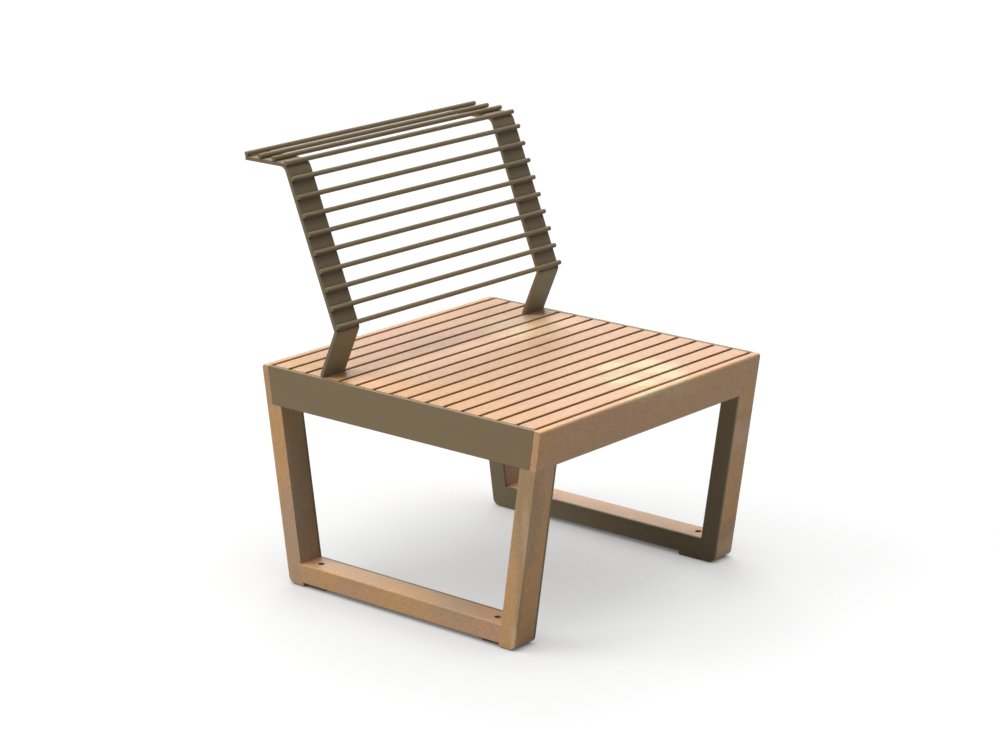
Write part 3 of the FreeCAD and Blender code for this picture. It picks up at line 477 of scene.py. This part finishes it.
# %% Coat of the brackets, with painted shade
FRONT_TURN = 0.5
KNEE_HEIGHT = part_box("back_rod_13")[0].z
KNEE_BLEND = 8 * MM
# A painted shadow: a dark band in the fold of the knee, just under the lowest rod
FOLD_MIDDLE = KNEE_HEIGHT - 2 * MM
FOLD_HALF = 4 * MM
FOLD_SHADE = 0.25
# The seat throws warm light on the stems, and this tint keeps them as bronze as the rest
STEM_TINT = (0.88, 1.05, 1.18)


def painted_shade_under_rods(tree, place, colour):
    """Front of a bracket: painted shade under the rods and in the knee's fold, a cool tint on the stem."""
    normal = add_node(tree, "NewGeometry").outputs["Normal"]
    frontward = add_node(tree, "SeparateXYZ", {"Vector": normal}).outputs["Y"]
    front = add_node(tree, "Math", {0: frontward, 1: -FRONT_TURN}, operation="LESS_THAN").outputs[0]
    height = add_node(tree, "SeparateXYZ", {"Vector": place}).outputs["Z"]

    sloping = add_node(tree, "Math", {0: on_slope(tree, height), 1: front}, operation="MULTIPLY").outputs[0]
    inputs = {FACTOR: sloping, FIRST: colour, SECOND: painted_corner_shade(tree, normal)}
    shaded_coat = add_node(tree, "Mix", inputs, blend_type="MULTIPLY", **COLOURS).outputs[RESULT]

    tinted = add_node(tree, "VectorMath", {0: colour, 1: STEM_TINT}, operation="MULTIPLY").outputs[0]
    stem = add_node(tree, "Mix", {FACTOR: front, FIRST: colour, SECOND: tinted}, **COLOURS).outputs[RESULT]
    inputs = {"Value": height, "From Min": KNEE_HEIGHT - 2 * KNEE_BLEND, "From Max": KNEE_HEIGHT - KNEE_BLEND}
    above_knee = add_node(tree, "MapRange", inputs).outputs["Result"]
    coat = add_node(tree, "Mix", {FACTOR: above_knee, FIRST: stem, SECOND: shaded_coat}, **COLOURS).outputs[RESULT]

    inputs = {0: height, 1: FOLD_MIDDLE, 2: FOLD_HALF}
    in_fold = add_node(tree, "Math", inputs, operation="COMPARE").outputs[0]
    fold_shadow_mask = add_node(tree, "Math", {0: in_fold, 1: front}, operation="MULTIPLY").outputs[0]
    dark = add_node(tree, "VectorMath", {0: colour, 1: [FOLD_SHADE] * 3}, operation="MULTIPLY").outputs[0]
    return add_node(tree, "Mix", {FACTOR: fold_shadow_mask, FIRST: coat, SECOND: dark}, **COLOURS).outputs[RESULT]


# %% Coat of the rods, with painted shade
# Painted shade on the undersides of the rods, where they lie over a bracket
UNDERSIDE_START, UNDERSIDE_FULL = 0.1, -0.5
UNDERSIDE_SHADE = 0.35
bracket_low, bracket_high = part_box("left_back_bracket")
BRACKET_MIDDLE = (bracket_low.x + bracket_high.x) / 2
BRACKET_HALF = (bracket_high.x - bracket_low.x) / 2
print("bracket width", round(2 * BRACKET_HALF, 4))


def painted_shade_on_undersides(tree, place, colour):
    """A rod of the slope: painted shade where it faces down and lies over one of the two brackets."""
    normal = add_node(tree, "NewGeometry").outputs["Normal"]
    upward = add_node(tree, "SeparateXYZ", {"Vector": normal}).outputs["Z"]
    inputs = {"Value": upward, "From Min": UNDERSIDE_START, "From Max": UNDERSIDE_FULL}
    downward = add_node(tree, "MapRange", inputs).outputs["Result"]

    split = add_node(tree, "SeparateXYZ", {"Vector": place}).outputs
    from_middle = add_node(tree, "Math", {0: split["X"]}, operation="ABSOLUTE").outputs[0]
    inputs = {0: from_middle, 1: BRACKET_MIDDLE, 2: BRACKET_HALF}
    over_bracket = add_node(tree, "Math", inputs, operation="COMPARE").outputs[0]

    hidden = add_node(tree, "Math", {0: downward, 1: over_bracket}, operation="MULTIPLY").outputs[0]
    sloping = on_slope(tree, split["Z"])
    hidden = add_node(tree, "Math", {0: hidden, 1: sloping}, operation="MULTIPLY").outputs[0]
    inputs = {0: colour, 1: [UNDERSIDE_SHADE] * 3}
    dark = add_node(tree, "VectorMath", inputs, operation="MULTIPLY").outputs[0]
    return add_node(tree, "Mix", {FACTOR: hidden, FIRST: colour, SECOND: dark}, **COLOURS).outputs[RESULT]


# %% [markdown]
# ## Powder-coated steel
# The powder was baked to a satin film that is even in colour, with a slight orange peel and a little
# unevenness in gloss. A single colour would look like plastic, so noise drives bump and roughness, and
# hardly touches the colour. The peel is drawn somewhat coarser than a real one, so that it shows.

# %% Powder coat
PEEL_SIZE = 2.2 * MM
PEEL_DEPTH = 0.3 * MM
PEEL_BUMP = 0.12
FILM_CLOUD_SIZE = 90 * MM
COAT_SMOOTH, COAT_ROUGH = 0.48, 0.58


def powder_coated_steel(name, tones, shading=None):
    """Satin powder coat on steel: nearly even colour between two tones, fine orange peel."""
    material, tree = new_material(name)
    place = add_node(tree, "TexCoord").outputs["Object"]
    inputs = {"Vector": place, "Scale": 1 / FILM_CLOUD_SIZE, "Detail": 3.0}
    cloud = add_node(tree, "TexNoise", inputs).outputs["Fac"]
    dark, light = [linear(tone) for tone in tones]
    colour = add_node(tree, "Mix", {FACTOR: cloud, FIRST: dark, SECOND: light}, **COLOURS).outputs[RESULT]
    if shading:
        colour = shading(tree, place, colour)
    peel = add_node(tree, "TexNoise", {"Vector": place, "Scale": 1 / PEEL_SIZE, "Detail": 1.0}).outputs["Fac"]
    inputs = {"Height": peel, "Strength": PEEL_BUMP, "Distance": PEEL_DEPTH}
    bump = add_node(tree, "Bump", inputs).outputs["Normal"]
    inputs = {"Value": cloud, "To Min": COAT_SMOOTH, "To Max": COAT_ROUGH}
    roughness = add_node(tree, "MapRange", inputs).outputs["Result"]
    shader = add_node(tree, "BsdfPrincipled", {
        "Base Color": colour,
        "Roughness": roughness,
        "Normal": bump,
        "IOR": FILM_IOR,
        "Specular IOR Level": FILM_SHINE,
    }).outputs["BSDF"]
    add_node(tree, "OutputMaterial", {"Surface": shader})
    return material


BRONZE_TONES = ("#96876b", "#9a8b6f")
PLATE_TONES = ("#a18b6c", "#a58f70")
STEEL = powder_coated_steel("bronze_powder_coated_steel", BRONZE_TONES)
# The brackets and rods of the back carry painted shade under the rods
STEEL_BRACKET = powder_coated_steel("bronze_powder_coated_bracket_painted_shade", BRONZE_TONES, painted_shade_under_rods)
STEEL_ROD = powder_coated_steel("bronze_powder_coated_rod_painted_shade", BRONZE_TONES, painted_shade_on_undersides)
STEEL_PLATE = powder_coated_steel("bronze_powder_coated_plate", PLATE_TONES)
print("powder coat: orange peel of", PEEL_SIZE, "m")

# %% [markdown]
# ## Zinc-plated steel
# Screws, bolts and nuts under the seat are turned steel with a bright zinc plating. It is a true metal, so it
# mirrors what is round it, a little cloudy from the bath.

# %% Zinc plating
ZINC_CLOUD_SIZE = 4 * MM
ZINC_DARK, ZINC_LIGHT = "#a9aaa8", "#c2c3c0"
ZINC_SMOOTH, ZINC_ROUGH = 0.28, 0.45


def zinc_plated_steel(name):
    """Bright zinc on turned heads: metal with fine cloudy gloss."""
    material, tree = new_material(name)
    place = add_node(tree, "TexCoord").outputs["Object"]
    inputs = {"Vector": place, "Scale": 1 / ZINC_CLOUD_SIZE, "Detail": 2.0}
    cloud = add_node(tree, "TexNoise", inputs).outputs["Fac"]
    inputs = {FACTOR: cloud, FIRST: linear(ZINC_DARK), SECOND: linear(ZINC_LIGHT)}
    colour = add_node(tree, "Mix", inputs, **COLOURS).outputs[RESULT]
    inputs = {"Value": cloud, "To Min": ZINC_SMOOTH, "To Max": ZINC_ROUGH}
    roughness = add_node(tree, "MapRange", inputs).outputs["Result"]
    inputs = {"Base Color": colour, "Roughness": roughness, "Metallic": 1.0}
    shader = add_node(tree, "BsdfPrincipled", inputs).outputs["BSDF"]
    add_node(tree, "OutputMaterial", {"Surface": shader})
    return material


ZINC = zinc_plated_steel("zinc_plated_steel")
print("zinc: clouds of", ZINC_CLOUD_SIZE, "m")

# %% [markdown]
# ## Every solid gets its finish
# The names of the solids say what they are, so the finish follows from the name: slats and boards have their
# grain from side to side, rails from front to back, legs upright, and the rest is steel. The screws of the
# legs were coated together with the plates that they hold.

# %% Give the finishes to the solids
FINISH_BY_WORD = {
    "side_plate": STEEL_PLATE,
    "back_bracket": STEEL_BRACKET,
    "back_rod": STEEL_ROD,
    "slat_carrier": STEEL,
    "leg_screws": STEEL,
    "screws": ZINC,
    "bolts": ZINC,
    "nuts": ZINC,
    "seat_slat": WOOD_SLATS,
    "board": WOOD_BOARDS,
    "rail": WOOD_RAILS,
    "leg": WOOD_LEGS,
}


def finish_for(node_name):
    """The finish of the first word found in the name, or steel."""
    found = [finish for word, finish in FINISH_BY_WORD.items() if word in node_name]
    return found[0] if found else STEEL


for node_name, solid in nodes.items():
    solid.data.materials.clear()
    solid.data.materials.append(finish_for(node_name))
print("finishes given to", len(nodes), "solids")

# %% [markdown]
# ## Weld beads of the back
# On the real chair each rod is welded to both brackets, and the solids leave a hair of room for the weld. A
# bead is a short sausage of metal in the corner between rod and bracket, on the side that the sitter doesn't
# see. All beads are one surface of two parameters, along the bead and round it, worked out for all crossings
# at once.

# %% Where the beads lie
BEAD_RADIUS = 1.5 * MM
BEAD_SINK = 0.3 * MM
HEAD_RODS = 3

rod_names = sorted(name for name in nodes if name.startswith("back_rod_"))
rod_boxes = np.array([[list(corner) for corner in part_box(name)] for name in rod_names])
rod_middles = rod_boxes.mean(axis=1)[:, 1:]
rod_radius = np.ptp(rod_boxes[0], axis=0)[2] / 2

slope = rod_middles[-1] - rod_middles[HEAD_RODS + 1]
slope /= np.linalg.norm(slope)
rearward = np.array([1.0, 0.0])
bend = rearward - slope
bend /= np.linalg.norm(bend)
# Along the bracket on the hidden side of each rod: rearward on the head, downward on the slope
away = np.array([rearward] * HEAD_RODS + [bend] + [slope] * (len(rod_names) - HEAD_RODS - 1))
# The rearmost rod lies at the very end of the bracket, so its bead is in front of it
away[0] = -rearward
# From each rod square to the bracket: the way along it, turned by a quarter to the side of the bracket
bracket_side = np.array([0.5, -1.0])
inward = np.stack([away[:, 1], -away[:, 0]], axis=1)
inward *= np.sign((inward * bracket_side).sum(axis=1, keepdims=True))

standoff = rod_middles[0, 1] - bracket_high.z
depth = standoff - BEAD_RADIUS + BEAD_SINK
reach = math.sqrt((rod_radius + BEAD_RADIUS - BEAD_SINK) ** 2 - depth ** 2)
bead_middles = rod_middles + away * reach + inward * depth
print("beads", 2 * len(rod_names), "rod radius", round(rod_radius, 4), "standoff", round(standoff, 4))

# %% Bead surface
BEAD_RINGS = 24
BEAD_SIDES = 8
BEAD_RIPPLES = 9
RIPPLE_HEIGHT = 0.08
# The higher this power, the longer the bead keeps its full radius towards its ends
BEAD_FULLNESS = 8


def bead_points(middles, spans):
    """Sausages along X at the given places (y, z): for t from -1 to 1 along the bead, the radius is R times
    the root of one less the eighth power of t, with small ripples. Rows: the rings one after the other, then
    the two tips."""
    t = np.cos(np.linspace(np.pi, 0, BEAD_RINGS + 2))[1:-1]
    ripple = 1 + RIPPLE_HEIGHT * np.cos(np.pi * BEAD_RIPPLES * t)
    swell = BEAD_RADIUS * np.sqrt(1 - np.abs(t) ** BEAD_FULLNESS) * ripple
    turn = np.linspace(0, 2 * np.pi, BEAD_SIDES, endpoint=False)
    start, stop = spans[:, 0], spans[:, 1]
    x = start[:, None] + (t[None, :] + 1) / 2 * (stop - start)[:, None]
    tube = np.empty((len(middles), BEAD_RINGS, BEAD_SIDES, 3))
    tube[..., 0] = x[:, :, None]
    tube[..., 1] = middles[:, None, None, 0] + swell[None, :, None] * np.cos(turn)
    tube[..., 2] = middles[:, None, None, 1] + swell[None, :, None] * np.sin(turn)
    tips = np.empty((len(middles), 2, 3))
    tips[..., 0] = spans
    tips[..., 1:] = middles[:, None, :]
    return np.concatenate([tube.reshape(len(middles), -1, 3), tips], axis=1)


def bead_faces():
    """Faces of one bead, outward: four-sided between the rings, and a fan of triangles to each tip."""
    ring, side = np.meshgrid(np.arange(BEAD_RINGS - 1), np.arange(BEAD_SIDES), indexing="ij")
    here, there = ring * BEAD_SIDES, (ring + 1) * BEAD_SIDES
    following = (side + 1) % BEAD_SIDES
    quads = np.stack([here + following, there + following, there + side, here + side], axis=-1).reshape(-1, 4)
    spoke = np.arange(BEAD_SIDES)
    next_spoke = (spoke + 1) % BEAD_SIDES
    first_tip = np.full(BEAD_SIDES, BEAD_RINGS * BEAD_SIDES)
    last_ring = (BEAD_RINGS - 1) * BEAD_SIDES
    start_fan = np.stack([first_tip, next_spoke, spoke], axis=1)
    stop_fan = np.stack([first_tip + 1, last_ring + spoke, last_ring + next_spoke], axis=1)
    return quads, start_fan, stop_fan


# %% Make the beads
BEAD_MARGIN = 6 * MM

inner, outer = bracket_low.x + BEAD_MARGIN, bracket_high.x - BEAD_MARGIN
left_spans = np.tile([inner, outer], (len(bead_middles), 1))
right_spans = np.tile([-outer, -inner], (len(bead_middles), 1))
points = bead_points(np.concatenate([bead_middles, bead_middles]), np.concatenate([left_spans, right_spans]))
faces = []
for number in range(len(points)):
    for part in bead_faces():
        faces += (part + number * points.shape[1]).tolist()
bead_mesh = bpy.data.meshes.new("rod_welds")
bead_mesh.from_pydata(points.reshape(-1, 3).tolist(), [], faces)
bead_mesh.polygons.foreach_set("use_smooth", np.ones(len(bead_mesh.polygons), bool))
bead_mesh.update()
bead_mesh.materials.append(STEEL)
rod_welds = bpy.data.objects.new("rod_welds", bead_mesh)
bpy.context.scene.collection.objects.link(rod_welds)
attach(rod_welds, "root")
print("weld beads:", len(bead_mesh.polygons), "faces")

# %% [markdown]
# ## Camera
# A long lens from the sitter's right, in front of the chair and a little above it. A long lens far away keeps
# the edges of the frames nearly parallel. The camera is turned a hair about its own axis, as a camera on a
# real stand is.

# %% Camera
EYE = Vector((-4.3558, -3.6284, 2.0636))
AIM = Vector((-0.0200, 0.0177, 0.4153))
LENS = 104.41
SENSOR_WIDTH = 36.0
ROLL = math.radians(-0.065)

lens_data = bpy.data.cameras.new("camera")
lens_data.sensor_fit = "HORIZONTAL"
lens_data.sensor_width = SENSOR_WIDTH
lens_data.lens = LENS
camera = bpy.data.objects.new("camera", lens_data)
camera.location = EYE
camera.rotation_euler = (AIM - EYE).to_track_quat("-Z", "Y").to_euler()
camera.rotation_euler.rotate_axis("Z", ROLL)
bpy.context.scene.collection.objects.link(camera)
bpy.context.scene.camera = camera
print("camera distance", round((AIM - EYE).length, 2), "m")

# %% [markdown]
# ## Floor
# The floor is one large sheet of white paper. A paper that only reflects would be grey under lamps that suit
# the chair, so part of its white is a glow that only the camera and gloss see. The glow fades where the chair
# stands close, in two parts: one gives the thin dark line of contact, the other the wide soft shadow.

# %% Floor
FLOOR_HALF = 14.0
FLOOR_DROP = 0.5 * MM
PAPER_SEEN = 0.365
PAPER_BOUNCE = 0.39
CONTACT_GLOW = {"strength": 0.285, "reach": 15 * MM}
WIDE_GLOW = {"strength": 0.417, "reach": 640 * MM}


def seen_directly(tree):
    """One for rays from the camera, from gloss and through glass, nought for the light that bounces about."""
    path = add_node(tree, "LightPath").outputs
    inputs = {0: path["Is Camera Ray"], 1: path["Is Glossy Ray"]}
    camera_or_gloss = add_node(tree, "Math", inputs, operation="MAXIMUM").outputs[0]
    inputs = {0: camera_or_gloss, 1: path["Is Transmission Ray"]}
    return add_node(tree, "Math", inputs, operation="MAXIMUM").outputs[0]


def paper_floor():
    """White matt paper: to the camera and to gloss it also glows, less where the chair stands over it."""
    material, tree = new_material("white_paper_floor")
    shown = seen_directly(tree)
    inputs = {FACTOR: shown, FIRST: grey(PAPER_BOUNCE), SECOND: grey(PAPER_SEEN)}
    matt_colour = add_node(tree, "Mix", inputs, **COLOURS).outputs[RESULT]
    paper = add_node(tree, "BsdfDiffuse", {"Color": matt_colour}).outputs[0]
    for part in (CONTACT_GLOW, WIDE_GLOW):
        inputs = {"Distance": part["reach"]}
        openness = add_node(tree, "AmbientOcclusion", inputs, samples=OCCLUSION_SAMPLES).outputs["AO"]
        glow = add_node(tree, "Math", {0: shown, 1: part["strength"]}, operation="MULTIPLY").outputs[0]
        faded = add_node(tree, "Math", {0: glow, 1: openness}, operation="MULTIPLY").outputs[0]
        lit = add_node(tree, "Emission", {"Color": grey(1.0), "Strength": faded}).outputs[0]
        paper = add_node(tree, "AddShader", {0: paper, 1: lit}).outputs[0]
    add_node(tree, "OutputMaterial", {"Surface": paper})
    return material


corners = np.array([[-1, -1, 0], [1, -1, 0], [1, 1, 0], [-1, 1, 0]], float) * FLOOR_HALF
corners[:, 2] = -FLOOR_DROP
sheet = bpy.data.meshes.new("floor")
sheet.from_pydata(corners.tolist(), [], [[0, 1, 2, 3]])
sheet.update()
sheet.materials.append(paper_floor())
floor = bpy.data.objects.new("floor", sheet)
bpy.context.scene.collection.objects.link(floor)
print("floor", 2 * FLOOR_HALF, "m wide")

# %% [markdown]
# ## Light and white background
# Large softboxes light the chair from above and from both rear corners, and two weak ones fill the shaded
# sides. Lamps close by would fall off over the floor, so each is a sun with a wide disc, which is a softbox
# seen from far away. The world is white where the camera or gloss sees it, and gives no light of its own.

# %% Lamps and world
LAMP_SPREAD = math.radians(36)
LAMPS = [
    {"name": "overhead", "around": 0, "above": 90, "strength": 1.58},
    {"name": "rear_left", "around": 135, "above": 40, "strength": 1.14},
    {"name": "rear_right", "around": 45, "above": 40, "strength": 0.88},
    {"name": "side_fill", "around": 180, "above": 15, "strength": 0.12},
    {"name": "front_fill", "around": 270, "above": 40, "strength": 0.17},
]


def far_softbox(name, around, above, strength):
    """Light from a large softbox far away: its direction in degrees round Z from +X and above the floor."""
    lamp = bpy.data.lights.new(name, "SUN")
    lamp.angle = LAMP_SPREAD
    lamp.energy = strength
    level = math.cos(math.radians(above))
    toward = Vector((
        level * math.cos(math.radians(around)),
        level * math.sin(math.radians(around)),
        math.sin(math.radians(above)),
    ))
    holder = bpy.data.objects.new(name, lamp)
    holder.rotation_euler = toward.to_track_quat("Z", "Y").to_euler()
    bpy.context.scene.collection.objects.link(holder)


for lamp in LAMPS:
    far_softbox(**lamp)

world = bpy.data.worlds.new("studio")
world.use_nodes = True
sky = world.node_tree
sky.nodes.clear()
backdrop = add_node(sky, "Background", {"Color": grey(1.0), "Strength": seen_directly(sky)}).outputs[0]
add_node(sky, "OutputWorld", {"Surface": backdrop})
bpy.context.scene.world = world
bpy.context.scene.view_settings.view_transform = "Standard"
print("lamps:", ", ".join(lamp["name"] for lamp in LAMPS))
